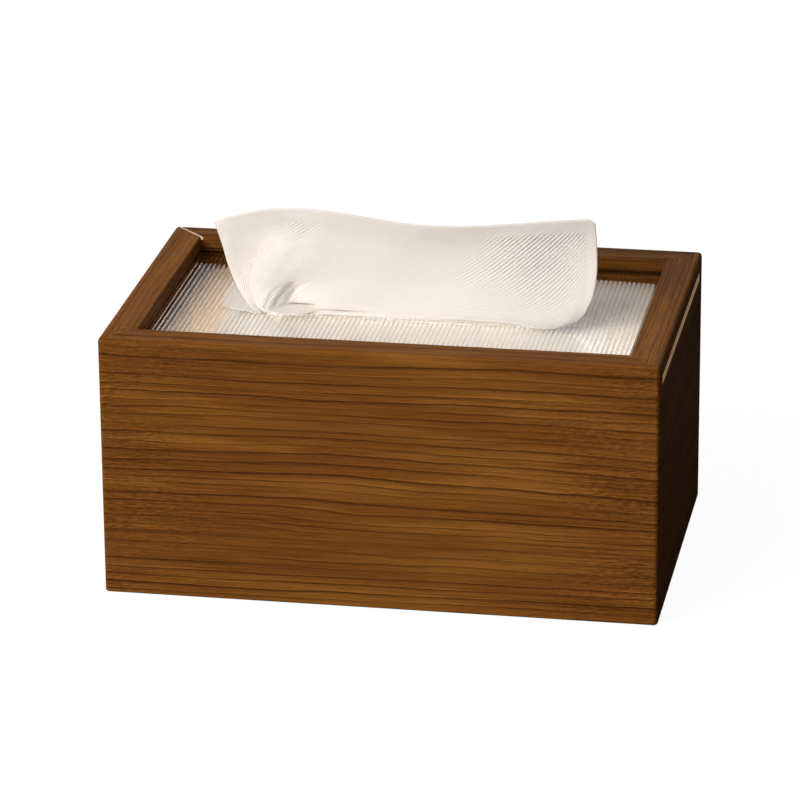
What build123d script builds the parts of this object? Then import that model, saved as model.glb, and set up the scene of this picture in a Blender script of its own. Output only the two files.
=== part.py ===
from build123d import *
import os

os.makedirs("parts", exist_ok=True)

# A walnut tissue box. Four mitred boards hold a base panel in a groove, and a clear reeded
# lid slides in grooves under the rim and out through a slot in the right end board.
# Sizes are in millimetres. The origin is on the table under the middle of the box, with
# +X to the right end, +Y to the back and +Z up.

# Wooden frame
box_length = 250.0
box_depth = 160.0
box_height = 121.0
board_thickness = 15.0
outer_rounding = 2.0  # corners and top outer edges
inner_easing = 0.5  # chamfer on the rim's inner edges
mitre_easing = 0.2  # along the mitres on the rim
bottom_easing = 0.5

# Base panel and the groove that holds it
base_thickness = 4.0
base_setback = 5.0  # from the boards' bottom edges up to the panel
base_groove_depth = 5.0
base_gap = 0.3  # left at the panel's edges for the wood to move
base_groove_play = 0.2

# Sliding lid
lid_thickness = 4.0  # to the crests of the reeds
lid_recess = 7.0  # from the rim down to the crests
lid_groove_depth = 7.0
lid_top_play = 0.6
lid_side_play = 0.5
lid_end_play = 0.5
lid_edge_setback = 0.3  # the lid's right edge inside the end board's face
reed_pitch = 2.2
reed_height = 0.4
opening_length = 132.0
opening_width = 27.0
opening_corner = 4.0

# Hidden splines that lock the mitres
spline_thickness = 3.0
spline_width = 10.0
spline_inset = 9.0  # from each outer face to the spline's middle
spline_play = 0.1
spline_end_wood = 6.0  # solid wood between a spline and the grooves above and below it

# Pads under the corners
pad_radius = 5.0
pad_thickness = 1.0
pad_inset = 9.0  # from each outer face to the pad's middle

# Pack of folded tissues that stands on the base panel and nearly fills the box
pack_left_space = 10.0  # to the left end board
pack_right_space = 6.0
pack_side_space = 2.0  # to the front and back boards
pack_headroom = 2.0  # to the lid
pack_rounding = 3.0
pack_soft_end = 12.0  # the wrapper's slack at each end, beyond the folded sheets

# The sheet that stands up through the lid
sheet_thickness = 1.0  # two soft plies with air between them
sheet_gap = 0.4  # to the lid and to the pack
neck_margin = 5.0  # from the opening's ends to the gathered sheet
neck_overlap = 0.8  # how far the gathered sheet reaches up into the spread one
sheet_rise = 46.0  # from the lid to the highest point
tail_margin = 8.0  # how far the part that still lies on the pack is narrower at each end
tail_width = 51.0

# Levels and spans that follow from those sizes
wood_bottom = pad_thickness
rim = wood_bottom + box_height
inside_length = box_length - 2 * board_thickness
inside_depth = box_depth - 2 * board_thickness
base_bottom = wood_bottom + base_setback
base_top = base_bottom + base_thickness
lid_top = rim - lid_recess
lid_bottom = lid_top - lid_thickness
lid_groove_top = lid_top + lid_top_play
lid_channel_width = inside_depth + 2 * lid_groove_depth
lid_channel_left = -inside_length / 2 - lid_groove_depth
spline_bottom = base_top + base_groove_play + spline_end_wood
spline_top = lid_bottom - spline_end_wood
pack_length = inside_length - pack_left_space - pack_right_space
pack_middle = (pack_left_space - pack_right_space) / 2  # along X
pack_width = inside_depth - 2 * pack_side_space
pack_top = lid_bottom - pack_headroom
sheet_width = pack_length - 2 * pack_soft_end
corners = {
    "front_left": (-1, -1),
    "front_right": (1, -1),
    "back_left": (-1, 1),
    "back_right": (1, 1),
}


def corner_point(side_x, side_y, inset):
    return (side_x * (box_length / 2 - inset), side_y * (box_depth / 2 - inset))


def finish(piece, name):
    piece.label = name
    export_step(piece, f"parts/{name}.step")


# The four walls as one ring with all their grooves, before it is parted at the mitres
with BuildPart() as wall_ring:
    with BuildSketch(Plane.XY.offset(wood_bottom)):
        Rectangle(box_length, box_depth)
    extrude(amount=box_height)
    fillet(wall_ring.edges().filter_by(Axis.Z), outer_rounding)
    fillet(wall_ring.faces().sort_by(Axis.Z)[-1].edges(), outer_rounding)
    chamfer(wall_ring.faces().sort_by(Axis.Z)[0].edges(), bottom_easing)
    with BuildSketch(Plane.XY.offset(wood_bottom)):
        Rectangle(inside_length, inside_depth)
    extrude(amount=box_height, mode=Mode.SUBTRACT)
    rim_face = wall_ring.faces().sort_by(Axis.Z)[-1]
    chamfer(rim_face.inner_wires()[0].edges(), inner_easing)
    # groove for the base panel
    with BuildSketch(Plane.XY.offset(base_bottom)):
        Rectangle(inside_length + 2 * base_groove_depth, inside_depth + 2 * base_groove_depth)
    extrude(amount=base_thickness + base_groove_play, mode=Mode.SUBTRACT)
    # groove for the lid, open through the right end
    with BuildSketch(Plane.XY.offset(lid_bottom)):
        with Locations((lid_channel_left, 0)):
            Rectangle(box_length, lid_channel_width, align=(Align.MIN, Align.CENTER))
    extrude(amount=lid_groove_top - lid_bottom, mode=Mode.SUBTRACT)
    # slots for the splines, square to the mitres
    with BuildSketch(Plane.XY.offset(spline_bottom - spline_play)):
        for side_x, side_y in corners.values():
            with Locations(corner_point(side_x, side_y, spline_inset)):
                Rectangle(
                    spline_thickness + 2 * spline_play,
                    spline_width + 2 * spline_play,
                    rotation=45 * side_x * side_y,
                )
    extrude(amount=spline_top - spline_bottom + 2 * spline_play, mode=Mode.SUBTRACT)


def mitre_edges(board):
    # the straight edges where a board's mitres meet the rim
    top_edges = board.faces().sort_by(Axis.Z)[-1].edges().filter_by(GeomType.LINE)
    return top_edges.filter_by(lambda edge: abs(edge.tangent_at(0).X * edge.tangent_at(0).Y) > 0.1)


def mitred_outline(first, second):
    # a board's plan: its outer edge from one corner to the next, and its inner edge back
    return [
        corner_point(*first, 0),
        corner_point(*second, 0),
        corner_point(*second, board_thickness),
        corner_point(*first, board_thickness),
    ]


# Boards
with BuildPart() as front_board:
    add(wall_ring.part)
    with BuildSketch():
        Polygon(*mitred_outline(corners["front_left"], corners["front_right"]), align=None)
    extrude(amount=rim, mode=Mode.INTERSECT)
    chamfer(mitre_edges(front_board), mitre_easing)
finish(front_board.part, "front_board")

with BuildPart() as back_board:
    add(wall_ring.part)
    with BuildSketch():
        Polygon(*mitred_outline(corners["back_right"], corners["back_left"]), align=None)
    extrude(amount=rim, mode=Mode.INTERSECT)
    chamfer(mitre_edges(back_board), mitre_easing)
finish(back_board.part, "back_board")

with BuildPart() as left_end_board:
    add(wall_ring.part)
    with BuildSketch():
        Polygon(*mitred_outline(corners["back_left"], corners["front_left"]), align=None)
    extrude(amount=rim, mode=Mode.INTERSECT)
    chamfer(mitre_edges(left_end_board), mitre_easing)
finish(left_end_board.part, "left_end_board")

with BuildPart() as right_end_board:
    add(wall_ring.part)
    with BuildSketch():
        Polygon(*mitred_outline(corners["front_right"], corners["back_right"]), align=None)
    extrude(amount=rim, mode=Mode.INTERSECT)
    chamfer(mitre_edges(right_end_board), mitre_easing)
finish(right_end_board.part, "right_end_board")

# Base panel, loose in its groove
with BuildPart() as base_panel:
    with BuildSketch(Plane.XY.offset(base_bottom)):
        Rectangle(
            inside_length + 2 * (base_groove_depth - base_gap),
            inside_depth + 2 * (base_groove_depth - base_gap),
        )
    extrude(amount=base_thickness)
finish(base_panel.part, "base_panel")

# Splines and pads, one of each at every corner
for corner, (side_x, side_y) in corners.items():
    with BuildPart() as corner_spline:
        with BuildSketch(Plane.XY.offset(spline_bottom)):
            with Locations(corner_point(side_x, side_y, spline_inset)):
                Rectangle(spline_thickness, spline_width, rotation=45 * side_x * side_y)
        extrude(amount=spline_top - spline_bottom)
    finish(corner_spline.part, f"corner_spline_{corner}")

    with BuildPart() as foot_pad:
        with BuildSketch():
            with Locations(corner_point(side_x, side_y, pad_inset)):
                Circle(pad_radius)
        extrude(amount=pad_thickness)
    finish(foot_pad.part, f"foot_pad_{corner}")

# Lid: a flat plate whose upper face is a row of rounded reeds that run front to back
lid_left = lid_channel_left + lid_end_play
lid_right = box_length / 2 - lid_edge_setback
lid_width = lid_channel_width - 2 * lid_side_play
reed_count = round((lid_right - lid_left) / reed_pitch)
reed_step = (lid_right - lid_left) / reed_count
reed_root = lid_top - reed_height
with BuildPart() as lid_panel:
    with BuildSketch(Plane.XZ.offset(-lid_width / 2)):
        with BuildLine():
            Polyline(
                (lid_left, reed_root),
                (lid_left, lid_bottom),
                (lid_right, lid_bottom),
                (lid_right, reed_root),
            )
            for reed in range(reed_count):
                reed_start = lid_left + reed * reed_step
                ThreePointArc(
                    (reed_start, reed_root),
                    (reed_start + reed_step / 2, lid_top),
                    (reed_start + reed_step, reed_root),
                )
        make_face()
    extrude(amount=lid_width)
    with BuildSketch(Plane.XY.offset(lid_bottom)):
        RectangleRounded(opening_length, opening_width, opening_corner)
    extrude(amount=lid_thickness, mode=Mode.SUBTRACT)
finish(lid_panel.part, "lid_panel")

# Pack of folded tissues, rounded where the folds run along its front and back
with BuildPart() as tissue_pack:
    with BuildSketch(Plane.XY.offset(base_top)):
        with Locations((pack_middle, 0)):
            Rectangle(pack_length, pack_width)
    extrude(amount=pack_top - base_top)
    fillet(tissue_pack.edges().filter_by(Axis.X), pack_rounding)
finish(tissue_pack.part, "tissue_pack")

# Standing sheet: each rib is a strip that bows back from the lid up to the free top edge.
# A rib is where it starts (a share of half the opening along X, and how far behind the
# neck), where it ends (a share of half the sheet along X, then Y, then a share of the rise)
# and how far it bows.
neck_y = sheet_gap + sheet_thickness / 2 - opening_width / 2
sheet_bottom = lid_top + sheet_gap
sheet_ribs = [
    ((-1.10, 5.5), (-0.995, 7.5, 0.735), 2.0),
    ((-1.02, 3.0), (-0.900, 6.0, 0.820), 3.0),
    ((-0.86, 0.5), (-0.730, 3.5, 0.930), 4.5),
    ((-0.62, 0.0), (-0.508, -0.4, 0.980), 5.0),
    ((-0.31, 0.0), (-0.253, -3.4, 0.963), 5.0),
    ((0.08, 0.0), (0.053, -5.4, 0.913), 4.5),
    ((0.46, 0.0), (0.370, -5.0, 0.920), 4.5),
    ((0.79, -1.5), (0.665, -2.2, 0.965), 4.5),
    ((1.14, -1.0), (0.940, 2.0, 1.000), 3.0),
]
half_sheet = sheet_thickness / 2
with BuildPart() as tissue_sheet:
    for (start_share, start_back), (end_share, end_y, rise_share), bow in sheet_ribs:
        rib_start = Vector(start_share * opening_length / 2, neck_y + start_back, sheet_bottom)
        rib_end = Vector(end_share * sheet_width / 2, end_y, lid_top + rise_share * sheet_rise)
        rib_run = rib_end - rib_start
        rib_length = rib_run.length
        rib_plane = Plane(rib_start, x_dir=rib_run, z_dir=rib_run.cross(Vector(0, 1, 0)))
        with BuildSketch(rib_plane):
            with BuildLine():
                ThreePointArc(
                    (0, -half_sheet), (rib_length / 2, bow - half_sheet), (rib_length, -half_sheet)
                )
                Line((rib_length, -half_sheet), (rib_length, half_sheet))
                ThreePointArc(
                    (rib_length, half_sheet), (rib_length / 2, bow + half_sheet), (0, half_sheet)
                )
                Line((0, half_sheet), (0, -half_sheet))
            make_face()
    loft()
    # gathered neck through the opening, and the half that still lies on the pack
    with BuildSketch(Plane.XY.offset(pack_top + sheet_gap)):
        with Locations((0, neck_y)):
            Rectangle(opening_length - 2 * neck_margin, sheet_thickness)
    extrude(amount=sheet_bottom + neck_overlap - pack_top - sheet_gap)
    with BuildSketch(Plane.XY.offset(pack_top + sheet_gap)):
        with Locations((pack_middle, neck_y - half_sheet)):
            Rectangle(
                sheet_width - 2 * tail_margin, tail_width, align=(Align.CENTER, Align.MIN)
            )
    extrude(amount=sheet_thickness)
finish(tissue_sheet.part, "tissue_sheet")
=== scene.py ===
import math

import bpy
import numpy as np
from mathutils import Matrix, Vector


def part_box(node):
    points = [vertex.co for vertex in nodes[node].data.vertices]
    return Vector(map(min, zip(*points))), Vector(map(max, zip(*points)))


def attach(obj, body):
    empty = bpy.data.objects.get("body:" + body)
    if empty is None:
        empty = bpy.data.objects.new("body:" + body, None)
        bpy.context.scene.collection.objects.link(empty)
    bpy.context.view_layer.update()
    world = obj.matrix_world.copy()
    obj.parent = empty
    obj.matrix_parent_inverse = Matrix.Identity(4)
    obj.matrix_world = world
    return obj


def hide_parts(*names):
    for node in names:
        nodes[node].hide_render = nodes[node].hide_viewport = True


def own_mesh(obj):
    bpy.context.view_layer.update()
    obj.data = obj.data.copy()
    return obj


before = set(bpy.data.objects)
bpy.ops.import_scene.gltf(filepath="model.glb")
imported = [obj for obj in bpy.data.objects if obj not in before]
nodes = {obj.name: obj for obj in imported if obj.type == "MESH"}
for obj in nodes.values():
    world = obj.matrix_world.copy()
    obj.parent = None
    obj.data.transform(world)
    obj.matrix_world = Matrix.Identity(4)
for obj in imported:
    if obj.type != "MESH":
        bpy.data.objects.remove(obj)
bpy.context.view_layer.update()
scene = bpy.context.scene
millimetre = 0.001


class Wire:
    # a node's output that can be used in sums; with no output it only makes nodes
    def __init__(self, tree, output=None):
        self.tree, self.output = tree, output

    def node(self, kind, settings=None, values=None, output=0):
        made = self.tree.nodes.new(kind)
        for name, value in (settings or {}).items():
            setattr(made, name, value)
        for name, value in (values or {}).items():
            if isinstance(value, Wire):
                self.tree.links.new(value.output, made.inputs[name])
            else:
                made.inputs[name].default_value = value
        return Wire(self.tree, made.outputs[output])

    def math(self, operation, *values):
        return self.node("ShaderNodeMath", {"operation": operation}, dict(enumerate(values)))

    def apply(self, operation, *values):  # math on this output itself
        return self.math(operation, self, *values)

    def axis(self, which):
        return self.node("ShaderNodeSeparateXYZ", values={0: self}, output=which)

    def axes(self, which="XYZ"):
        return [self.axis(letter) for letter in which]

    def __add__(self, other):
        return self.math("ADD", self, other)

    def __radd__(self, other):
        return self.math("ADD", other, self)

    def __sub__(self, other):
        return self.math("SUBTRACT", self, other)

    def __rsub__(self, other):
        return self.math("SUBTRACT", other, self)

    def __mul__(self, other):
        return self.math("MULTIPLY", self, other)

    def __rmul__(self, other):
        return self.math("MULTIPLY", other, self)

    def __truediv__(self, other):
        return self.math("DIVIDE", self, other)

    def __pow__(self, other):
        return self.math("POWER", self, other)

    def fade(self, low, high):  # 0 below low, 1 above high, smooth between
        return self.node(
            "ShaderNodeMapRange",
            {"interpolation_type": "SMOOTHSTEP"},
            {"Value": self, "From Min": low, "From Max": high},
        )

    def bump(self, height, strength, depth):
        return self.node("ShaderNodeBump", values={"Strength": strength, "Distance": depth, "Height": height})

    def blendColours(self, share, first, second):
        return self.node("ShaderNodeMix", {"data_type": "RGBA"}, {0: share, 6: first, 7: second}, 2)


def newMaterial(name):
    made = bpy.data.materials.new(name)
    made.use_nodes = True
    made.node_tree.nodes.clear()
    return made, Wire(made.node_tree)


def showSurface(wire, shader):
    out = wire.tree.nodes.new("ShaderNodeOutputMaterial")
    wire.tree.links.new(shader.output, out.inputs["Surface"])


def dress(piece, material):
    piece.data.materials.clear()
    piece.data.materials.append(material)


# camera: solved from the box's corners in the 800 x 800 photograph
cameraSettings = {
    "place": (0.34248, -1.93144, 0.80380),
    "heading": 10.164,  # degrees to the left of +Y
    "dip": 20.493,
    "roll": -0.442,
    "focalPixels": 4588.49,
    "framePixels": 800,
}


def placeCamera():
    s = cameraSettings
    data = bpy.data.cameras.new("camera")
    data.sensor_width = 36
    data.lens = s["focalPixels"] * data.sensor_width / s["framePixels"]
    data.clip_end = 20
    camera = bpy.data.objects.new("camera", data)
    scene.collection.objects.link(camera)
    camera.matrix_world = (
        Matrix.Translation(s["place"])
        @ Matrix.Rotation(math.radians(s["heading"]), 4, "Z")
        @ Matrix.Rotation(math.radians(90 - s["dip"]), 4, "X")
        @ Matrix.Rotation(math.radians(s["roll"]), 4, "Z")
    )
    scene.camera = camera


placeCamera()
print("camera placed")

# walnut: growth lines run along each board, over fine fibres, with a bumpy figure near the ends
walnutSettings = {
    "middle": (0.183, 0.064, 0.0085, 1),
    "golden": (0.268, 0.101, 0.0165, 1),
    "plum": (0.138, 0.048, 0.0085, 1),
    "line": (0.046, 0.014, 0.0022, 1),
    "lineSpacing": 3.9,  # millimetres
    "lineCrowding": 1.9,  # how unevenly the lines are spaced
    "crowdingSize": 14,  # millimetres over which the spacing changes
    "lineLength": 130,  # millimetres before a line fades
    "wander": 4.4,  # millimetres that the lines stray
    "lineDarkness": 0.84,
    "figureShade": 1.9,
    "figureHeight": 6.0,
    "roughness": 0.64,
    "gloss": 0.06,
    "bump": 0.6,
    "bumpDepth": 0.3 * millimetre,
    "mitreLine": (0.92, 0.70, 0.46, 1),
    "mitreLineWidth": 0.8,  # millimetres
    "layers": {  # sizes along and across the board in millimetres, detail, roughness and seed
        "wander": (170, 55, 1.0, 0.5, 0),
        "bends": (46, 9, 1.0, 0.5, 7),
        "tremble": (9, 3, 1.0, 0.5, 41),
        "hairs": (150, 0.9, 2.0, 0.5, 3),
        "hairPatches": (130, 14, 1.0, 0.5, 5),
        "fibre": (22, 0.36, 4.0, 0.65, 11),
        "pores": (3.0, 0.30, 2.0, 0.5, 19),
        "tone": (120, 13, 2.0, 0.5, 23),
        "blush": (160, 13, 1.0, 0.5, 29),
        "patches": (45, 26, 1.0, 0.5, 31),
        "figure": (3.4, 1.1, 3.0, 0.62, 37),
    },
}


def backLeftMitre(place):
    # 1 on a narrow line along the top of the back left mitre, which is drawn pale
    low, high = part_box("back_board")
    width = walnutSettings["mitreLineWidth"]
    rim = high.z / millimetre
    x, y, z = [value / millimetre for value in place.axes()]
    fromMitre = ((x + y - (low.x + high.y) / millimetre) * math.sqrt(0.5)).apply("ABSOLUTE")
    return (1 - fromMitre.fade(width * 0.3, width * 0.6)) * z.fade(rim - 1.6, rim - 1.0)


def layerNoise(w, along, across, through):
    # gives a function that draws one of the layers
    def noise(layer):
        alongSize, acrossSize, detail, rough, seed = walnutSettings["layers"][layer]
        spot = w.node(
            "ShaderNodeCombineXYZ",
            values={0: along / alongSize + seed, 1: across / acrossSize, 2: through / acrossSize},
        )
        return w.node(
            "ShaderNodeTexNoise",
            values={"Vector": spot, "Scale": 1.0, "Detail": detail, "Roughness": rough},
        )

    return noise


def growthLines(w, noise, along, across):
    # irregular steps across the board, each darkening slowly and ending sharply
    s = walnutSettings
    bent = across + (noise("wander") - 0.5) * s["wander"] * 2
    bent = bent + (noise("bends") - 0.5) * 2.4 + (noise("tremble") - 0.5) * 0.5
    uneven = w.node(
        "ShaderNodeTexNoise",
        {"noise_dimensions": "1D"},
        {"W": bent / s["crowdingSize"], "Scale": 1.0, "Detail": 1.0},
    )
    steps = bent / s["lineSpacing"] + uneven * s["lineCrowding"]
    step, number = steps.apply("FRACT"), steps.apply("FLOOR")
    strength = w.node("ShaderNodeTexWhiteNoise", {"noise_dimensions": "1D"}, {"W": number})
    # each line fades in places of its own
    lineSpot = w.node("ShaderNodeCombineXYZ", values={0: along / s["lineLength"], 1: number * 7.31})
    fading = w.node("ShaderNodeTexNoise", values={"Vector": lineSpot, "Scale": 1.0, "Detail": 1.0})
    lines = step.fade(0.42, 0.93) ** 3.0 * (1 - step.fade(0.94, 1.0))
    lines = lines * (strength * 0.6 + 0.5) * (fading.fade(0.30, 0.52) * 0.6 + 0.4)
    return step, strength, lines


def walnut(name, axes, shift, shade=1.0, lean=0.5, figureFrom=55, figureTo=120, paleMitreLine=False):
    # axes are the object axes that run along, across and through the board
    s = walnutSettings
    material, w = newMaterial(name)
    place = w.node("ShaderNodeTexCoord", output="Object")
    along, across, through = [place.axis(letter) / millimetre for letter in axes]
    fromMiddle = along.apply("ABSOLUTE")
    along = along + shift[0]
    across = across + shift[1]
    noise = layerNoise(w, along, across, through)
    step, strength, lines = growthLines(w, noise, along, across + through * lean)
    softBand = step.fade(0.0, 0.9) * strength
    hairs = noise("hairs").fade(0.50, 0.66) * noise("hairPatches").fade(0.30, 0.55)
    fibre = noise("fibre")
    pores = noise("pores").fade(0.62, 0.72)
    ends = fromMiddle.fade(figureFrom, figureTo)
    patchy = noise("patches").fade(0.40, 0.60)
    figure = (noise("figure") - 0.5) * ((ends * 0.8 + 0.2) * (patchy * 0.6 + 0.4))
    paintedLipHighlight = (1 - step.fade(0.03, 0.14)) * strength  # painted highlight along the lip of each growth line

    colour = w.blendColours(noise("tone").fade(0.45, 0.72), s["middle"], s["golden"])
    colour = w.blendColours(noise("blush").fade(0.50, 0.70) * 0.4, colour, s["plum"])
    colour = w.blendColours(softBand * 0.4, colour, s["plum"])
    colour = w.blendColours(hairs * 0.42, colour, s["line"])
    colour = w.blendColours(lines * s["lineDarkness"], colour, s["line"])
    # shade scales the whole board: partly each board's own tone, partly painted shade on the back board and
    # right end and painted light on the left end
    light = ((fibre - 0.5) * 1.7 + 1.0 + figure * s["figureShade"] + paintedLipHighlight * 0.35) * shade
    colour = w.node("ShaderNodeVectorMath", {"operation": "SCALE"}, {0: colour, "Scale": light})
    colour = w.blendColours(pores * 0.25, colour, s["line"])
    if paleMitreLine:
        colour = w.blendColours(backLeftMitre(place) * 0.9, colour, s["mitreLine"])
    height = fibre * 0.45 - lines * 0.5 - pores * 0.3 + figure * s["figureHeight"]
    surface = w.node(
        "ShaderNodeBsdfPrincipled",
        values={
            "Base Color": colour,
            "Roughness": s["roughness"] + (0.5 - fibre) * 0.2 + pores * 0.1,
            "Specular IOR Level": s["gloss"],
            "Normal": w.bump(height, s["bump"], s["bumpDepth"]),
        },
    )
    showSurface(w, surface)
    return material


grainAlongX, grainAlongY = "XZY", "YZX"
boardCuts = {
    # node: material, axes, its place in the plank in millimetres, and how it differs from the front
    # the shade factors are partly each board's own tone and partly painted light: darker boards where they
    # lie in shade, the left end lighter where the light falls
    "front_board": ("oiled walnut front", grainAlongX, (0, 0), {}),
    "back_board": ("oiled walnut back", grainAlongX, (700, 310), {"shade": 0.68, "paleMitreLine": True}),
    "left_end_board": (
        "oiled walnut left end",
        grainAlongY,
        (1500, 40),
        {"shade": 1.06, "lean": 1.5, "figureFrom": 45, "figureTo": 75, "paleMitreLine": True},
    ),
    "right_end_board": (
        "oiled walnut right end",
        grainAlongY,
        (2300, 90),
        {"shade": 0.85, "lean": 1.5, "figureFrom": 45, "figureTo": 75},
    ),
    "base_panel": ("walnut veneer base", "XYZ", (3100, 500), {}),
}
for node, (name, axes, shift, differences) in boardCuts.items():
    dress(nodes[node], walnut(name, axes, shift, **differences))
print("boards dressed")


# beech splines and felt pads
beechSettings = {
    "dark": (0.36, 0.19, 0.085, 1),
    "light": (0.62, 0.42, 0.24, 1),
    "grain": (900, 900, 60),  # the grain runs up each spline
    "roughness": 0.6,
}
feltSettings = {
    "dark": (0.020, 0.015, 0.012, 1),
    "light": (0.085, 0.066, 0.052, 1),
    "fluff": 2600.0,
    "roughness": 0.95,
    "sheen": 0.4,
}


def beech():
    s = beechSettings
    material, w = newMaterial("bare beech")
    place = w.node("ShaderNodeTexCoord", output="Object")
    stretched = w.node("ShaderNodeMapping", values={"Vector": place, "Scale": s["grain"]})
    grain = w.node("ShaderNodeTexNoise", values={"Vector": stretched, "Scale": 1.0, "Detail": 3.0})
    surface = w.node(
        "ShaderNodeBsdfPrincipled",
        values={
            "Base Color": w.blendColours(grain, s["dark"], s["light"]),
            "Roughness": s["roughness"],
            "Normal": w.bump(grain, 0.3, 0.1 * millimetre),
        },
    )
    showSurface(w, surface)
    return material


def pressedFelt():
    s = feltSettings
    material, w = newMaterial("pressed felt")
    place = w.node("ShaderNodeTexCoord", output="Object")
    fluff = w.node("ShaderNodeTexNoise", values={"Vector": place, "Scale": s["fluff"], "Detail": 5.0})
    surface = w.node(
        "ShaderNodeBsdfPrincipled",
        values={
            "Base Color": w.blendColours(fluff, s["dark"], s["light"]),
            "Roughness": s["roughness"],
            "Sheen Weight": s["sheen"],
            "Normal": w.bump(fluff, 0.8, 0.3 * millimetre),
        },
    )
    showSurface(w, surface)
    return material


bareBeech, felt = beech(), pressedFelt()
for corner in ("front_left", "front_right", "back_left", "back_right"):
    dress(nodes[f"corner_spline_{corner}"], bareBeech)
    dress(nodes[f"foot_pad_{corner}"], felt)
print("splines and pads dressed")


# geometry node trees share these helpers
def newTree(name, inputs):
    tree = bpy.data.node_groups.new(name, "GeometryNodeTree")
    for label, kind in inputs.items():
        tree.interface.new_socket(label, in_out="INPUT", socket_type="NodeSocket" + kind)
    tree.interface.new_socket("Geometry", in_out="OUTPUT", socket_type="NodeSocketGeometry")
    entry = tree.nodes.new("NodeGroupInput")
    return Wire(tree), {label: Wire(tree, entry.outputs[label]) for label in inputs}


def endTree(wire, geometry, material):
    solid = wire.node("GeometryNodeRealizeInstances", values={"Geometry": geometry})
    painted = wire.node("GeometryNodeSetMaterial", values={"Geometry": solid, "Material": material})
    leave = wire.tree.nodes.new("NodeGroupOutput")
    wire.tree.links.new(painted.output, leave.inputs["Geometry"])


def closedBlock(wire, face, height):
    # the face raised by the height, closed below by the face turned over
    up = wire.node("ShaderNodeCombineXYZ", values={2: height})
    raised = wire.node(
        "GeometryNodeExtrudeMesh", {"mode": "FACES"}, {"Mesh": face, "Offset": up, "Individual": False}
    )
    under = wire.node("GeometryNodeFlipFaces", values={"Mesh": face})
    joined = wire.node("GeometryNodeJoinGeometry", values={"Geometry": raised})
    wire.tree.links.new(under.output, joined.output.node.inputs["Geometry"])
    return wire.node("GeometryNodeMergeByDistance", values={"Geometry": joined, "Distance": 1e-6})


def growPiece(name, tree, values, creaseAngle):
    # runs a tree on an empty mesh and keeps the result as a plain mesh
    piece = bpy.data.objects.new(name, bpy.data.meshes.new(name))
    scene.collection.objects.link(piece)
    modifier = piece.modifiers.new(name, "NODES")
    modifier.node_group = tree
    sockets = {item.name: item.identifier for item in tree.interface.items_tree if item.in_out == "INPUT"}
    for label, value in values.items():
        modifier[sockets[label]] = value
    bpy.context.view_layer.update()
    shape = piece.evaluated_get(bpy.context.evaluated_depsgraph_get())
    mesh = bpy.data.meshes.new_from_object(shape)
    piece.modifiers.remove(modifier)
    piece.data = mesh
    mesh.name = name
    mesh.polygons.foreach_set("use_smooth", [True] * len(mesh.polygons))
    mesh.set_sharp_from_angle(angle=math.radians(creaseAngle))
    return piece


# lid: a plate whose upper face is a row of rounded reeds, cut by the opening
lidSettings = {
    "reeds": 110,
    "stepsPerReed": 12,
    "reedHeight": 0.12 * millimetre,
    "reedFullness": 3.0,  # 2 is a round crest, more is broader
    "openingLength": 132 * millimetre,
    "openingWidth": 27 * millimetre,
    "openingCorner": 4 * millimetre,
    "cornerSteps": 8,
    "roughness": 0.02,
    "smudges": 0.05,  # how much rougher the handled places are
    "refraction": 1.49,
    "tint": (0.97, 0.96, 0.935, 1),
    "shadowTint": (0.96, 0.955, 0.945, 1),
    "edge": (1.0, 0.66, 0.36, 1),  # sawn edge, with painted highlights at its two rims and a painted warm glow
    "edgeCore": (0.38, 0.23, 0.12, 1),
    "edgeRoughness": 0.6,
    "paintedEdgeGlow": 0.22,  # painted glow, standing in for light that the clear sheet carries to its edge
}


def reededPlate(w, given):
    # each reed has a broad crest that falls off towards the valleys
    sheet = w.node(
        "GeometryNodeMeshGrid",
        values={
            "Size X": given["Length"],
            "Size Y": given["Width"],
            "Vertices X": given["Reeds"] * given["Steps per Reed"] + 1,
            "Vertices Y": 2,
        },
    )
    plate = closedBlock(w, sheet, given["Thickness"])
    x, z = w.node("GeometryNodeInputPosition").axes("XZ")
    pitch = given["Length"] / given["Reeds"]
    reedPlace = (x + given["Length"] / 2) / pitch + 0.0001  # a hair off the valleys, where it jumps
    fromCrest = ((reedPlace.apply("FRACT") - 0.5) * 2).apply("ABSOLUTE")
    fall = fromCrest ** given["Reed Fullness"] * given["Reed Height"]
    drop = w.node("ShaderNodeCombineXYZ", values={2: 0 - fall})
    isTop = z.apply("GREATER_THAN", given["Thickness"] / 2)
    return w.node("GeometryNodeSetPosition", values={"Geometry": plate, "Selection": isTop, "Offset": drop})


def openingBlock(w, given):
    # a block with rounded corners, which reaches past both faces of the plate
    outline = w.node(
        "GeometryNodeCurvePrimitiveQuadrilateral",
        values={"Width": given["Opening Length"], "Height": given["Opening Width"]},
    )
    rounded = w.node(
        "GeometryNodeFilletCurve",
        {"mode": "POLY"},
        {"Curve": outline, "Radius": given["Opening Corner"], "Count": given["Corner Steps"]},
    )
    face = w.node("GeometryNodeFillCurve", {"mode": "NGONS"}, {"Curve": rounded})
    low = w.node("ShaderNodeCombineXYZ", values={2: 0 - given["Thickness"]})
    lowered = w.node("GeometryNodeTransform", values={"Geometry": face, "Translation": low})
    return closedBlock(w, lowered, given["Thickness"] * 3)


def reededLidTree():
    w, given = newTree(
        "reeded lid",
        {
            "Middle": "Vector",
            "Length": "Float",
            "Width": "Float",
            "Thickness": "Float",
            "Reeds": "Int",
            "Steps per Reed": "Int",
            "Reed Height": "Float",
            "Reed Fullness": "Float",
            "Opening Length": "Float",
            "Opening Width": "Float",
            "Opening Corner": "Float",
            "Corner Steps": "Int",
            "Material": "Material",
        },
    )
    cut = w.node(
        "GeometryNodeMeshBoolean",
        {"operation": "DIFFERENCE", "solver": "EXACT"},
        {"Mesh 1": reededPlate(w, given), "Mesh 2": openingBlock(w, given)},
    )
    placed = w.node("GeometryNodeTransform", values={"Geometry": cut, "Translation": given["Middle"]})
    endTree(w, placed, given["Material"])
    return w.tree


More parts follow.
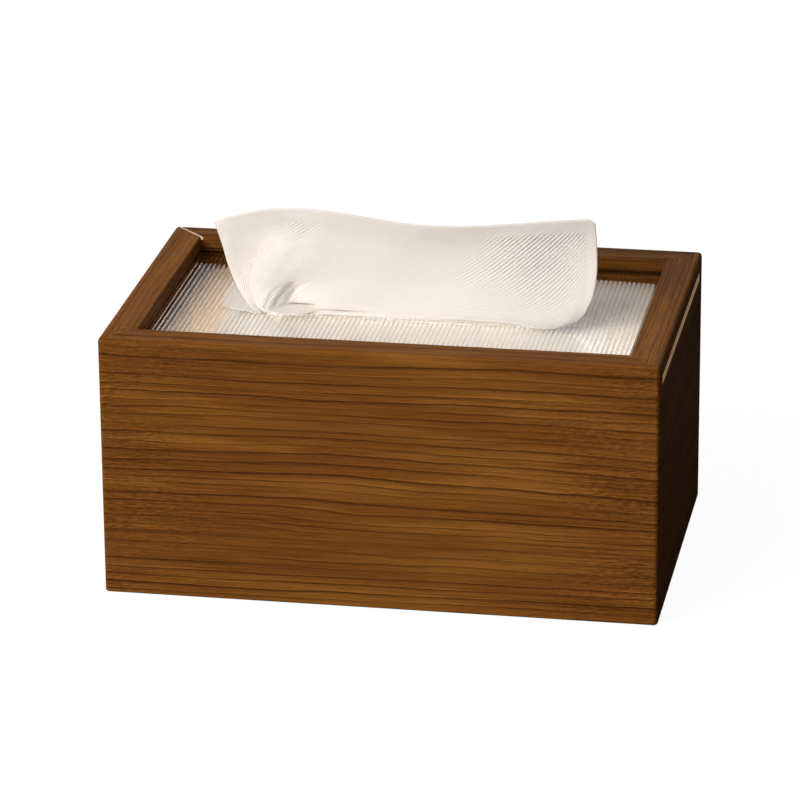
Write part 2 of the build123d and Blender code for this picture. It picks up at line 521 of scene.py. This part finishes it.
def clearAcrylic(rightEdge, edgeMiddle):
    # light from the lamps passes straight through, as it does through a thin clear sheet
    s = lidSettings
    material, w = newMaterial("clear acrylic")
    place = w.node("ShaderNodeTexCoord", output="Object")
    smudges = w.node("ShaderNodeTexNoise", values={"Vector": place, "Scale": 22.0, "Detail": 4.0})
    acrylic = w.node(
        "ShaderNodeBsdfPrincipled",
        values={
            "Base Color": s["tint"],
            "Roughness": smudges.fade(0.45, 0.8) * s["smudges"] + s["roughness"],
            "IOR": s["refraction"],
            "Transmission Weight": 1.0,
        },
    )
    clear = w.node("ShaderNodeBsdfTransparent", values={"Color": s["shadowTint"]})
    shadowRay = w.node("ShaderNodeLightPath", output="Is Shadow Ray")
    polished = w.node("ShaderNodeMixShader", values={0: shadowRay, 1: acrylic, 2: clear})
    # the edge that shows in the slot is sawn, and so it is frosted; its warm colour, its lighter rims and its
    # glow are painted light
    x, z = place.axes("XZ")
    fromCore = (z - edgeMiddle).apply("ABSOLUTE") / millimetre
    marks = w.node("ShaderNodeTexNoise", values={"Vector": place, "Scale": 900.0, "Detail": 2.0})
    # darker in the middle with speckles, leaving painted highlights along the two rims
    core = (1 - fromCore.fade(0.5, 1.3)) * (marks.fade(0.4, 0.6) * 0.5 + 0.5)
    paintedEdgeColour = w.blendColours(core, s["edge"], s["edgeCore"])
    # painted glow: the edge gives off light in its own colour, though it is no lamp
    sawn = w.node(
        "ShaderNodeBsdfPrincipled",
        values={
            "Base Color": paintedEdgeColour,
            "Roughness": s["edgeRoughness"],
            "Specular IOR Level": 0.3,
            "Emission Color": paintedEdgeColour,
            "Emission Strength": s["paintedEdgeGlow"],
        },
    )
    atEdge = x.apply("GREATER_THAN", rightEdge - 0.05 * millimetre)
    showSurface(w, w.node("ShaderNodeMixShader", values={0: atEdge, 1: polished, 2: sawn}))
    return material


def makeLid():
    s = lidSettings
    low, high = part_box("lid_panel")
    middle = (low + high) / 2
    piece = growPiece(
        "reeded_lid",
        reededLidTree(),
        {
            "Middle": (middle.x, 0.0, low.z),
            "Length": high.x - low.x,
            "Width": high.y - low.y,
            "Thickness": high.z - low.z,
            "Reeds": s["reeds"],
            "Steps per Reed": s["stepsPerReed"],
            "Reed Height": s["reedHeight"],
            "Reed Fullness": s["reedFullness"],
            "Opening Length": s["openingLength"],
            "Opening Width": s["openingWidth"],
            "Opening Corner": s["openingCorner"],
            "Corner Steps": s["cornerSteps"],
            "Material": clearAcrylic(high.x, middle.z),
        },
        30,
    )
    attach(piece, "lid")
    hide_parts("lid_panel")
    return piece


lid = makeLid()
print("lid made:", len(lid.data.polygons), "faces")


# sheet: sizes in millimetres, and how finely it is drawn
sheetSettings = {
    "width": 182,  # as cut
    "length": 210,
    "columns": 230,
    "rows": 190,
    "tailRows": 48,
    "crowding": 0.7,  # below 1 the rows stand closer together near the lid
    "paper": 0.3,  # thickness
    "neckPlace": -13,  # where it is gathered, from the box's middle
    "foldInside": 26,  # how far the tail's fold stays in front of the pack's back
    "tailHeights": (0.3, 0.75),  # of its two layers over the pack
    "pleats": 3.5,
    "pleatDepth": 0.9,
    "pleatLean": 0.2,  # how far they lean to the right as they rise
}

# tissue: soft white paper with fine embossed ribs
tissueSettings = {
    "white": (0.865, 0.79, 0.725, 1),
    "shade": (0.815, 0.742, 0.677, 1),
    "ribPitch": 1.45,  # millimetres
    "ribAngle": 38,  # degrees up from the sheet's width
    "border": 5.0,  # plain strip along the cut edges
    "softness": 0.3,  # how much light passes through the sheet
    "lightDepth": 4 * millimetre,  # and how deep it goes
    "roughness": 0.88,
    "gloss": 0.2,
    "sheen": 0.1,
    "bump": 0.5,
    "bumpDepth": 0.3 * millimetre,
    "paintedWarmShade": (0.75, 0.50, 0.28, 1),  # painted warm shade: the pack turns to the boards' warm tone as it drops below its top, standing in for light bounced off the walnut
    "paintedWarmShadeFrom": 0.0,  # millimetres below the top
    "paintedWarmShadeTo": 2.6,
}


def tissuePaper(name, mapped):
    s = tissueSettings
    material, w = newMaterial(name)
    place = w.node("ShaderNodeTexCoord", output="UV" if mapped else "Object")
    scaled = w.node("ShaderNodeVectorMath", {"operation": "SCALE"}, {0: place, "Scale": 1000.0})
    x, y = scaled.axes("XY")
    turn = math.radians(s["ribAngle"])
    across = y * math.cos(turn) + x * math.sin(turn)
    other = y * math.cos(turn) - x * math.sin(turn)
    ribs = (across * (2 * math.pi / s["ribPitch"])).apply("SINE")
    otherRibs = (other * (2 * math.pi / s["ribPitch"])).apply("SINE")
    patches = w.node("ShaderNodeTexNoise", values={"Vector": scaled, "Scale": 0.035, "Detail": 1.0})
    weight = patches.fade(0.35, 0.6)
    worn = 1.0
    if mapped:  # plain along the cut edges, worn smooth in the middle
        halfWidth = sheetSettings["width"] / 2
        sideways = (x - halfWidth).apply("ABSOLUTE")
        inside = 1 - sideways.fade(halfWidth - s["border"] - 2, halfWidth - s["border"])
        worn = (sideways.fade(18, 46) * 0.9 + 0.1) * inside * y.fade(s["border"], s["border"] + 2)
    fibres = w.node("ShaderNodeTexNoise", values={"Vector": scaled, "Scale": 2.2, "Detail": 4.0})
    height = (ribs * (weight * 0.65 + 0.35) + otherRibs * (1 - weight) * 0.35) * worn + fibres * 0.6
    colour = w.blendColours(fibres.fade(0.3, 0.8), s["shade"], s["white"])
    if not mapped:
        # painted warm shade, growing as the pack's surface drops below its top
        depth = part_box("tissue_pack")[1].z / millimetre - scaled.axis("Z")
        colour = w.blendColours(depth.fade(s["paintedWarmShadeFrom"], s["paintedWarmShadeTo"]), colour, s["paintedWarmShade"])
    surface = w.node(
        "ShaderNodeBsdfPrincipled",
        values={
            "Base Color": colour,
            "Roughness": s["roughness"],
            "Specular IOR Level": s["gloss"],
            "Sheen Weight": s["sheen"],
            "Subsurface Weight": s["softness"] if mapped else 0.0,
            "Subsurface Radius": (1.0, 0.9, 0.8),
            "Subsurface Scale": s["lightDepth"],
            "Normal": w.bump(height, s["bump"], s["bumpDepth"]),
        },
    )
    showSurface(w, surface)
    return material


sheetPaper = tissuePaper("embossed tissue sheet", True)
packPaper = tissuePaper("folded tissue pack", False)

# pack: folded leaves piled on the base panel
packSettings = {
    "leaves": 46,
    "slip": 0.5 * millimetre,
    "foldSteps": 4,
    "lengthSteps": 40,
    "droopLeft": 5 * millimetre,  # how far the top leaf's ends hang down
    "droopRight": 0.8 * millimetre,
    "droopReach": 44 * millimetre,
    "droopPower": 1.7,
    "spreadLeft": 7.5 * millimetre,  # how far the upper leaves' ends slip outwards
    "spreadRight": 4 * millimetre,
    "seed": 4,
}


def foldedLeaf(w, given, pitch):
    # one leaf along X, round at its folds, a little thinner than its share of the pile
    profile = w.node(
        "GeometryNodeCurvePrimitiveQuadrilateral",
        values={"Width": given["Width"] - given["Slip"] * 2, "Height": pitch * 0.96},
    )
    folded = w.node(
        "GeometryNodeFilletCurve",
        {"mode": "POLY"},
        {"Curve": profile, "Radius": pitch * 0.45, "Count": given["Fold Steps"]},
    )
    ends = [
        w.node("ShaderNodeCombineXYZ", values={0: (given["Length"] / 2 - given["Slip"]) * side})
        for side in (-1, 1)
    ]
    path = w.node("GeometryNodeCurvePrimitiveLine", values={"Start": ends[0], "End": ends[1]})
    path = w.node("GeometryNodeResampleCurve", values={"Curve": path, "Count": given["Length Steps"]})
    upright = w.node("GeometryNodeSetCurveNormal", {"mode": "Z_UP"}, {"Curve": path})
    return w.node(
        "GeometryNodeCurveToMesh",
        values={"Curve": upright, "Profile Curve": folded, "Fill Caps": True},
    )


def hangingEnds(w, given, pile):
    # the ends of the upper leaves hang down and slip outwards
    spot = w.node("GeometryNodeInputPosition")
    x, z = [spot.axis(letter) - given["Foot"].axis(letter) for letter in "XZ"]
    bendFrom = given["Length"] / 2 - given["Droop Reach"]
    left, right = [
        (x * side - bendFrom).apply("MAXIMUM", 0.0) / given["Droop Reach"] for side in (-1, 1)
    ]
    power = given["Droop Power"]
    fall = left**power * given["Droop Left"] + right**power * given["Droop Right"]
    share = z / given["Height"]
    outwards = (right * given["Spread Right"] - left * given["Spread Left"]) * share
    hang = w.node("ShaderNodeCombineXYZ", values={0: outwards, 2: 0 - fall * share})
    return w.node("GeometryNodeSetPosition", values={"Geometry": pile, "Offset": hang})


def foldedLeavesTree():
    w, given = newTree(
        "folded leaves",
        {
            "Foot": "Vector",
            "Length": "Float",
            "Width": "Float",
            "Height": "Float",
            "Leaves": "Int",
            "Slip": "Float",
            "Fold Steps": "Int",
            "Length Steps": "Int",
            "Droop Left": "Float",
            "Droop Right": "Float",
            "Droop Reach": "Float",
            "Droop Power": "Float",
            "Spread Left": "Float",
            "Spread Right": "Float",
            "Seed": "Int",
            "Material": "Material",
        },
    )
    pitch = given["Height"] / given["Leaves"]
    step = w.node("ShaderNodeCombineXYZ", values={2: pitch})
    pile = w.node(
        "GeometryNodeMeshLine",
        {"mode": "OFFSET"},
        {"Count": given["Leaves"], "Start Location": given["Foot"], "Offset": step},
    )
    slips = [
        w.node(
            "FunctionNodeRandomValue",
            {"data_type": "FLOAT"},
            {2: 0 - given["Slip"], 3: given["Slip"], "Seed": given["Seed"] + axis},
            1,
        )
        for axis in range(2)
    ]
    slip = w.node("ShaderNodeCombineXYZ", values={0: slips[0], 1: slips[1], 2: pitch / 2})
    shaken = w.node("GeometryNodeSetPosition", values={"Geometry": pile, "Offset": slip})
    leaf = foldedLeaf(w, given, pitch)
    piled = w.node("GeometryNodeInstanceOnPoints", values={"Points": shaken, "Instance": leaf})
    loose = w.node("GeometryNodeRealizeInstances", values={"Geometry": piled})
    endTree(w, hangingEnds(w, given, loose), given["Material"])
    return w.tree


def makePack():
    s = packSettings
    low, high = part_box("tissue_pack")
    piece = growPiece(
        "folded_tissues",
        foldedLeavesTree(),
        {
            "Foot": ((low.x + high.x) / 2, 0.0, low.z),
            "Length": high.x - low.x,
            "Width": high.y - low.y,
            "Height": high.z - low.z,
            "Leaves": s["leaves"],
            "Slip": s["slip"],
            "Fold Steps": s["foldSteps"],
            "Length Steps": s["lengthSteps"],
            "Droop Left": s["droopLeft"],
            "Droop Right": s["droopRight"],
            "Droop Reach": s["droopReach"],
            "Droop Power": s["droopPower"],
            "Spread Left": s["spreadLeft"],
            "Spread Right": s["spreadRight"],
            "Seed": s["seed"],
            "Material": packPaper,
        },
        40,
    )
    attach(piece, "root")
    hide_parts("tissue_pack")
    return piece


pack = makePack()
print("pack made:", len(pack.data.polygons), "faces")


# sheet: drawn up through the opening, gathered there, and spread again at its free edge
columnPlaces = (0, 0.07, 0.14, 0.20, 0.26, 0.29, 0.32, 0.36, 0.40, 0.52, 0.66, 0.80, 0.90, 1)
rowPlaces = (0, 0.33, 0.60, 0.80, 0.90, 0.94, 0.97, 0.985, 1)
# rows run from the free edge down to the lid; each point is x, y and the height above the lid
sheetNet = (
    ((-90.6, 8, 34.6), (-80.5, 6.3, 38.4), (-69, 4, 42), (-59.5, 2.2, 44), (-49, 0.2, 45.1),
     (-43.7, -0.7, 45.3), (-38.5, -1.6, 45.3), (-31, -2.6, 45), (-23, -3.4, 44.3), (0.5, -5, 42.1),
     (26, -5, 42), (52, -2.8, 44), (70, -0.6, 45.5), (85, 2.2, 46)),
    ((-86.2, 4.8, 24), (-78, 6, 26.5), (-68.5, 5.5, 29), (-61.5, 3, 30), (-52, -0.5, 31),
     (-46.5, -1.3, 31), (-41, -2, 31), (-33, -2.3, 30.6), (-25, -2.5, 30), (-0.5, -3.4, 28.5),
     (26.5, -3.4, 28.5), (53, -2.2, 30), (71.5, -0.4, 31), (86.3, 0.6, 32.5)),
    ((-82.6, 1.2, 15), (-76, 3, 16.3), (-67.5, 2.5, 17), (-71.2, -5.5, 14.5), (-62, -8.8, 14.5),
     (-56, -8.2, 14.8), (-50, -7.4, 15), (-41, -6.8, 15), (-32, -6.4, 15), (-4, -6.2, 14.5),
     (26, -6.4, 14.5), (55, -6, 15.5), (74, -4.8, 17), (86.6, -4, 19.5)),
    ((-77.2, -4.5, 7), (-72.5, -3, 8), (-66.8, -2, 8.5), (-69.5, -9.5, 6.8), (-61.8, -12.8, 7),
     (-57, -11, 7.5), (-51.5, -6.5, 8.2), (-44.5, -8.2, 7.6), (-37.5, -10, 7.2), (-6, -10.4, 6.8),
     (25, -10.6, 6.8), (55, -11.4, 7), (73.5, -11.8, 7.2), (84.4, -9, 9.6)),
    ((-72.8, -9.5, 3.4), (-69.8, -8.7, 3.7), (-66.4, -7.6, 4.4), (-66.8, -13.8, 2.7), (-60.8, -15.4, 2.9),
     (-56.4, -11.6, 3.2), (-51.5, -8.7, 3.1), (-44.5, -9.2, 3.2), (-38, -10.7, 3.3), (-6.5, -11.6, 3.2),
     (24.5, -12, 3.2), (53.2, -13.6, 3.2), (70.5, -17.5, 2.8), (81.3, -12.5, 4.6)),
    ((-70.4, -12.4, 2), (-68.2, -11.6, 2.2), (-66, -9.8, 2.7), (-65.2, -15.1, 1.8), (-60, -15.9, 1.9),
     (-55.9, -12.6, 1.9), (-51.3, -8.1, 1.9), (-44.5, -7.6, 2), (-38.3, -10.9, 2.1), (-7, -12.2, 2.1),
     (24.2, -12.8, 2.1), (52.2, -14.8, 2.1), (68.5, -20, 1.6), (78.3, -14.5, 2.4)),
    ((-67, -15.8, 0.85), (-65.8, -14.8, 0.9), (-64.8, -13.2, 1), (-63.5, -15.6, 0.9), (-59.3, -17.2, 0.85),
     (-55.9, -18.9, 0.85), (-51, -19.5, 0.85), (-45, -18.6, 0.85), (-39.2, -12.2, 1), (-8, -13.2, 1),
     (23.2, -14, 1), (50.5, -16, 1), (65, -20.8, 0.9), (73, -16.5, 1.2)),
    ((-65.2, -13.6, 0.45), (-64.5, -13.2, 0.45), (-64, -12.6, 0.45), (-62.5, -13.5, 0.45),
     (-58.5, -14.5, 0.4), (-55.5, -15, 0.4), (-51, -15, 0.4), (-44.8, -15, 0.4), (-38.7, -12.9, 0.5),
     (-8.5, -13.3, 0.5), (22.6, -13.6, 0.5), (48.8, -14.5, 0.5), (61, -17, 0.5), (66.5, -15.5, 0.6)),
    ((-63.8, -11, -0.6), (-63.3, -10.2, -0.6), (-62.6, -10, -0.6), (-62, -12.2, -0.6), (-57.8, -12.6, -0.6),
     (-55.3, -12.7, -0.6), (-50.8, -12.7, -0.6), (-44.5, -12.7, -0.6), (-38.5, -12.8, -0.6), (-9, -13, -0.6),
     (22, -13, -0.6), (47, -13, -0.6), (57, -12.9, -0.6), (62.5, -12, -0.6)),
)


def curveThrough(places, values, at):
    # smooth curve through the values, one along the first axis for each place
    places, values, at = np.array(places, float), np.array(values, float), np.asarray(at)
    slopes = np.gradient(values, places, axis=0)
    cell = np.clip(np.searchsorted(places, at, side="right") - 1, 0, len(places) - 2)
    span = places[cell + 1] - places[cell]
    f = (at - places[cell]) / span
    extra = (slice(None),) + (None,) * (values.ndim - 1)
    f, span = f[extra], span[extra]
    return (
        (2 * f**3 - 3 * f**2 + 1) * values[cell]
        + (f**3 - 2 * f**2 + f) * span * slopes[cell]
        + (3 * f**2 - 2 * f**3) * values[cell + 1]
        + (f**3 - f**2) * span * slopes[cell + 1]
    )


def smoothStep(value, low, high):
    f = np.clip((value - low) / (high - low), 0, 1)
    return f * f * (3 - 2 * f)


def packHang(x):
    # how far the pack's top leaf hangs down at x, in millimetres
    s = packSettings
    low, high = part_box("tissue_pack")
    reach = s["droopReach"] / millimetre
    left = np.clip(low.x / millimetre + reach - x, 0, None) / reach
    right = np.clip(x - high.x / millimetre + reach, 0, None) / reach
    return (left**s["droopPower"] * s["droopLeft"] + right**s["droopPower"] * s["droopRight"]) / millimetre


def standingRows(across):
    # rows of points in millimetres from the free edge down to the neck
    s = sheetSettings
    down = np.linspace(0, 1, s["rows"]) ** s["crowding"]
    net = curveThrough(columnPlaces, np.swapaxes(np.array(sheetNet, float), 0, 1), across)
    upright = curveThrough(rowPlaces, np.swapaxes(net, 0, 1), down)
    u, v = np.meshgrid(across, down)
    leaned = u - s["pleatLean"] * (1 - v)
    # pleats from a fifth to three tenths of the width, just above the neck
    pleated = smoothStep(leaned, 0.195, 0.21) * (1 - smoothStep(leaned, 0.28, 0.31))
    pleated *= smoothStep(v, 0.6, 0.85) * (1 - smoothStep(v, 0.90, 0.96))
    wave = np.abs(np.sin((leaned - 0.2) / 0.1 * math.pi * s["pleats"])) - 0.6
    upright[..., 1] -= pleated * wave * s["pleatDepth"]
    upright[..., 1] += 0.5 * np.sin(u * 21 + v * 3) * np.sin(v * math.pi) * smoothStep(u, 0.35, 0.5)
    # upper corners, the right one rounded
    for corner, drop in ((across, 0.5), (1 - across, 2.2)):
        near = np.clip(1 - corner[None, :] / 0.022, 0, 1)
        upright[..., 2] -= near**2 * drop * (1 - smoothStep(v, 0, 0.05))
    upright[..., 2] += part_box("lid_panel")[1].z / millimetre
    return upright


def tailRows(last, across):
    # rows from the neck, where x spreads to the whole sheet, over the pack and back under itself
    s = sheetSettings
    packLow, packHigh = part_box("tissue_pack")
    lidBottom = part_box("lid_panel")[0].z / millimetre
    packTop = packHigh.z / millimetre
    neck = s["neckPlace"]
    flatX = (packLow.x + packHigh.x) / 2 / millimetre + (across - 0.5) * s["width"]
    foldBack = packHigh.y / millimetre - s["foldInside"] - neck
    lower, upper = [packTop + height for height in s["tailHeights"]]
    stages = [  # share of the spread, share kept of the gathered depth, way behind the neck, height
        (0.0, 1.0, 0.0, lidBottom + 2.0),
        (0.0, 1.0, 0.0, lidBottom - 0.2),
        (0.12, 0.8, 0.8, lidBottom - 1.6),
        (0.35, 0.4, 3.5, upper + 0.7),
        (0.65, 0.1, 9.0, upper + 0.15),
        (0.9, 0.0, 18.0, upper),
        (1.0, 0.0, 32.0, upper),
        (1.0, 0.0, foldBack, upper),
        (1.0, 0.0, foldBack + 1.0, (upper + lower) / 2),
        (1.0, 0.0, foldBack, lower),
        (1.0, 0.0, foldBack - 42.0, lower),
        (1.0, 0.0, foldBack - 90.0, lower),
    ]
    tail = []
    for spread, kept, behind, height in stages:
        row = np.empty_like(last)
        row[:, 0] = last[:, 0] * (1 - spread) + flatX * spread
        row[:, 1] = neck + (last[:, 1] - neck) * kept + behind
        row[:, 2] = height - packHang(row[:, 0]) * spread
        tail.append(row)
    tail = np.array(tail)
    steps = np.linspace(0, len(tail) - 1, s["tailRows"])
    cell = np.minimum(steps.astype(int), len(tail) - 2)
    f = (steps - cell)[:, None, None]
    return tail[cell] * (1 - f) + tail[cell + 1] * f


def makeSheet():
    s = sheetSettings
    across = np.linspace(0, 1, s["columns"])
    upright = standingRows(across)
    points = np.concatenate([upright, tailRows(upright[-1], across)])
    rows, columns = points.shape[:2]
    lengths = np.linalg.norm(np.diff(points, axis=0), axis=2).mean(axis=1)
    fromEdge = np.concatenate([[0], np.cumsum(lengths)])
    number = np.arange(rows * columns).reshape(rows, columns)
    corners = (number[:-1, :-1], number[1:, :-1], number[1:, 1:], number[:-1, 1:])
    faces = np.stack([c.ravel() for c in corners], axis=1)
    mesh = bpy.data.meshes.new("standing_tissue")
    mesh.from_pydata((points.reshape(-1, 3) * millimetre).tolist(), [], faces.tolist())
    # the map holds the flat sheet's own sizes, in metres
    flat = np.empty((rows, columns, 2))
    flat[..., 0] = np.linspace(0, s["width"], columns)[None, :]
    flat[..., 1] = fromEdge[:, None]
    mapLayer = mesh.uv_layers.new(name="flat")
    mapLayer.data.foreach_set("uv", (flat.reshape(-1, 2)[faces.ravel()] * millimetre).ravel())
    mesh.polygons.foreach_set("use_smooth", [True] * len(mesh.polygons))
    piece = bpy.data.objects.new("standing_tissue", mesh)
    scene.collection.objects.link(piece)
    dress(piece, sheetPaper)
    thick = piece.modifiers.new("paper", "SOLIDIFY")
    thick.thickness = s["paper"] * millimetre
    thick.offset = 0
    print("sheet length", fromEdge[-1])
    shape = piece.evaluated_get(bpy.context.evaluated_depsgraph_get())
    solid = bpy.data.meshes.new_from_object(shape)
    piece.modifiers.clear()
    piece.data = solid
    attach(piece, "root")
    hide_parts("tissue_sheet")
    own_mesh(piece)
    return piece


sheet = makeSheet()
print("sheet made:", len(sheet.data.polygons), "faces")


# floor, world and lamps
roomSettings = {
    "ambient": 0.32,
    "darkSide": 0.045,  # to the right of the object
    "colour": (1.0, 0.96, 0.915, 1),
    "floor": 0.10,
    "floorGlow": 0.95,  # where the camera sees it, also through the lid
    "floorReach": 6.0,  # metres
    "lampColour": (1.0, 0.975, 0.95),
    "lampAim": (0, 0, 0.08),
}


def whiteFloor():
    material, w = newMaterial("white floor")
    grey = roomSettings["floor"]
    plain = w.node("ShaderNodeBsdfDiffuse", values={"Color": (grey, grey, grey, 1)})
    glow = w.node("ShaderNodeEmission", values={"Color": (1, 1, 1, 1), "Strength": roomSettings["floorGlow"]})
    seen = w.node("ShaderNodeAddShader", values={0: plain, 1: glow})
    cameraRay, throughRay = [
        w.node("ShaderNodeLightPath", output=ray) for ray in ("Is Camera Ray", "Is Transmission Ray")
    ]
    shown = (cameraRay + throughRay).apply("MINIMUM", 1.0)
    showSurface(w, w.node("ShaderNodeMixShader", values={0: shown, 1: plain, 2: seen}))
    return material


def makeFloor():
    mesh = bpy.data.meshes.new("floor")
    reach = roomSettings["floorReach"]
    corners = [(-reach, -reach, 0), (reach, -reach, 0), (reach, reach, 0), (-reach, reach, 0)]
    mesh.from_pydata(corners, [], [(0, 1, 2, 3)])
    floor = bpy.data.objects.new("floor", mesh)
    scene.collection.objects.link(floor)
    dress(floor, whiteFloor())


def makeWorld():
    s = roomSettings
    world = bpy.data.worlds.new("studio")
    scene.world = world
    world.use_nodes = True
    world.node_tree.nodes.clear()
    w = Wire(world.node_tree)
    cameraRay, throughRay = [
        w.node("ShaderNodeLightPath", output=ray) for ray in ("Is Camera Ray", "Is Transmission Ray")
    ]
    x, z = w.node("ShaderNodeTexCoord", output="Generated").axes("XZ")
    # white behind the object, also through the lid, but not for light that the reeds turn upwards
    shown = (cameraRay + throughRay * (1 - z.fade(0.0, 0.15))).apply("MINIMUM", 1.0)
    away = 1 - x.fade(-0.1, 0.75)
    level = away * (s["ambient"] - s["darkSide"]) + s["darkSide"]
    room = w.node("ShaderNodeBackground", values={"Color": s["colour"], "Strength": level})
    white = w.node("ShaderNodeBackground", values={"Color": (1, 1, 1, 1), "Strength": 1.0})
    mixed = w.node("ShaderNodeMixShader", values={0: shown, 1: room, 2: white})
    out = w.tree.nodes.new("ShaderNodeOutputWorld")
    w.tree.links.new(mixed.output, out.inputs["Surface"])


lampSettings = {
    # name: place, width and height in metres, power in watts
    "key softbox": ((-1.0, -1.28, 1.12), (1.5, 1.3), 43.5),
    "fill softbox": ((0.7, -2.3, 1.4), (1.4, 1.0), 6),
    "back softbox": ((-0.3, 2.2, 1.5), (1.6, 1.0), 10),
}


def placeLamps():
    target = Vector(roomSettings["lampAim"])
    for name, (place, (width, height), power) in lampSettings.items():
        data = bpy.data.lights.new(name, "AREA")
        data.shape = "RECTANGLE"
        data.size = width
        data.size_y = height
        data.energy = power
        data.color = roomSettings["lampColour"]
        lamp = bpy.data.objects.new(name, data)
        lamp.visible_camera = False
        scene.collection.objects.link(lamp)
        lamp.location = place
        lamp.rotation_euler = (target - Vector(place)).to_track_quat("-Z", "Y").to_euler()


makeFloor()
makeWorld()
placeLamps()
scene.view_settings.view_transform = "Standard"
print("stage set")
